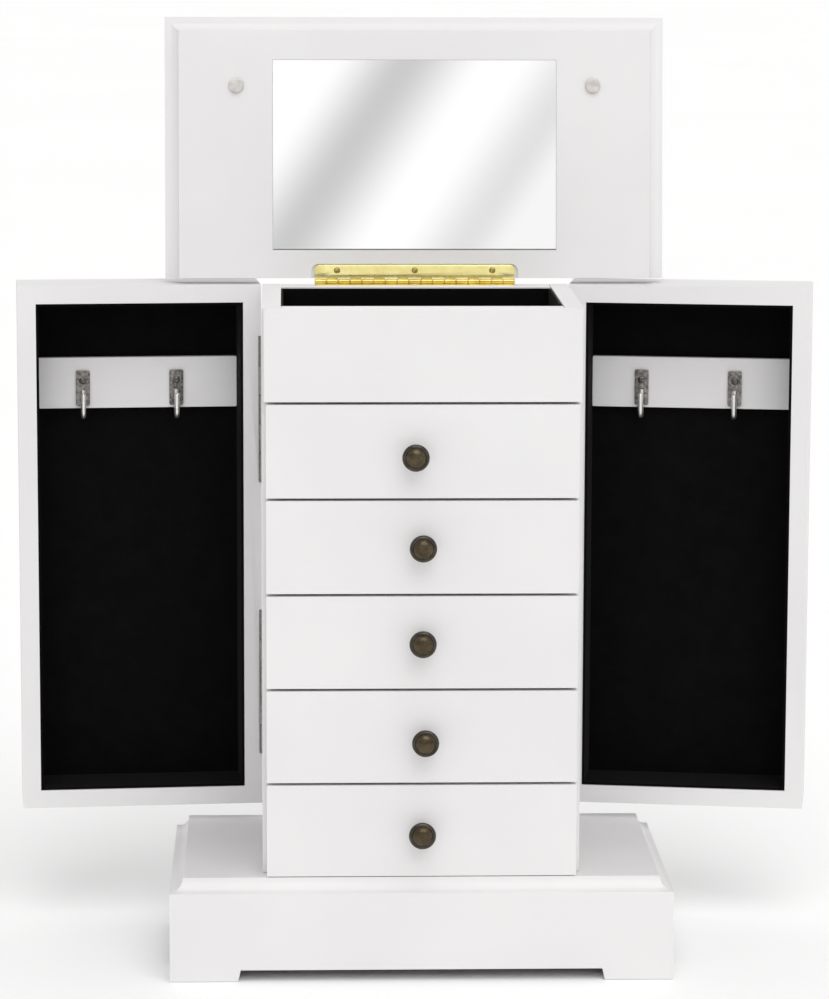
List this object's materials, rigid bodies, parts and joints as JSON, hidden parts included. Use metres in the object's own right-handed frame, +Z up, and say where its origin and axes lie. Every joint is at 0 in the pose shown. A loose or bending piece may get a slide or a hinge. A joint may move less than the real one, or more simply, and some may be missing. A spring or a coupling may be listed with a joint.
{
  "type": "jewellery chest",
  "caption": "White tabletop jewellery chest with drawers, a mirrored lid over a velvet tray and two side doors with hooks for necklaces",
  "frame": {"origin": "on the floor, under the middle of the open chest's bounding box", "axes": "+Z up, drawers open towards -Y, +X to the right of someone facing the drawers"},
  "size_m": [0.5336, 0.2286, 0.6023],
  "materials": {
    "white_paint": "satin white paint on board",
    "black_velvet": "short black velvet pile",
    "polished_brass": "polished",
    "antique_bronze": "antique bronze, burnished high spots",
    "nickel": "nickel plated",
    "mirror": "silvered glass",
    "clear_rubber": "clear soft bumper"
  },
  "bodies": {
    "cabinet": {"base_top_board": "white_paint", "base_front_board": "white_paint", "base_back_board": "white_paint", "base_left_board": "white_paint", "base_right_board": "white_paint", "left_side_panel": "white_paint", "right_side_panel": "white_paint", "back_panel": "white_paint", "drawer_shelf_1": "white_paint", "drawer_shelf_2": "white_paint", "drawer_shelf_3": "white_paint", "drawer_shelf_4": "white_paint", "top_front_panel": "white_paint", "tray_floor": "white_paint", "tray_front_rail": "white_paint", "tray_back_rail": "white_paint", "tray_lining": "black_velvet", "lid_hinge_body_leaf": "polished_brass", "left_door_lower_hinge_body_leaf": "nickel", "left_door_upper_hinge_body_leaf": "nickel", "right_door_lower_hinge_body_leaf": "nickel", "right_door_upper_hinge_body_leaf": "nickel"},
    "lid": {"lid_board": "white_paint", "lid_mirror": "mirror", "lid_bumper_left": "clear_rubber", "lid_bumper_right": "clear_rubber", "lid_hinge_lid_leaf": "polished_brass"},
    "left_door": {"left_door_frame": "white_paint", "left_door_panel": "white_paint", "left_door_lining": "black_velvet", "left_door_hook_rail": "white_paint", "left_door_hook_1": "nickel", "left_door_hook_2": "nickel", "left_door_lower_hinge_door_leaf": "nickel", "left_door_upper_hinge_door_leaf": "nickel"},
    "right_door": {"right_door_frame": "white_paint", "right_door_panel": "white_paint", "right_door_lining": "black_velvet", "right_door_hook_rail": "white_paint", "right_door_hook_1": "nickel", "right_door_hook_2": "nickel", "right_door_lower_hinge_door_leaf": "nickel", "right_door_upper_hinge_door_leaf": "nickel"},
    "drawer_1": {"drawer_1_front": "white_paint", "drawer_1_box": "white_paint", "drawer_1_knob": "antique_bronze"},
    "drawer_2": {"drawer_2_front": "white_paint", "drawer_2_box": "white_paint", "drawer_2_knob": "antique_bronze"},
    "drawer_3": {"drawer_3_front": "white_paint", "drawer_3_box": "white_paint", "drawer_3_knob": "antique_bronze"},
    "drawer_4": {"drawer_4_front": "white_paint", "drawer_4_box": "white_paint", "drawer_4_knob": "antique_bronze"},
    "drawer_5": {"drawer_5_front": "white_paint", "drawer_5_box": "white_paint", "drawer_5_knob": "antique_bronze"}
  },
  "joints": [
    {"name": "lid_hinge", "type": "hinge", "parent": "cabinet", "child": "lid", "pos_m": [-0.00105, 0.0688, 0.42915], "axis": [1, 0, 0], "range_deg": [0, 95.9]},
    {"name": "left_door_hinge", "type": "hinge", "parent": "cabinet", "child": "left_door", "pos_m": [-0.10255, 0.0667, 0.0765], "axis": [0, 0, 1], "range_deg": [-84.8, 85.2]},
    {"name": "right_door_hinge", "type": "hinge", "parent": "cabinet", "child": "right_door", "pos_m": [0.10045, 0.0667, 0.0765], "axis": [0, 0, 1], "range_deg": [-80.9, 89.1]},
    {"name": "drawer_1_slide", "type": "slide", "parent": "cabinet", "child": "drawer_1", "axis": [0, -1, 0], "range_m": [0, 0.105]},
    {"name": "drawer_2_slide", "type": "slide", "parent": "cabinet", "child": "drawer_2", "axis": [0, -1, 0], "range_m": [0, 0.105]},
    {"name": "drawer_3_slide", "type": "slide", "parent": "cabinet", "child": "drawer_3", "axis": [0, -1, 0], "range_m": [0, 0.105]},
    {"name": "drawer_4_slide", "type": "slide", "parent": "cabinet", "child": "drawer_4", "axis": [0, -1, 0], "range_m": [0, 0.105]},
    {"name": "drawer_5_slide", "type": "slide", "parent": "cabinet", "child": "drawer_5", "axis": [0, -1, 0], "range_m": [0, 0.105]}
  ]
}
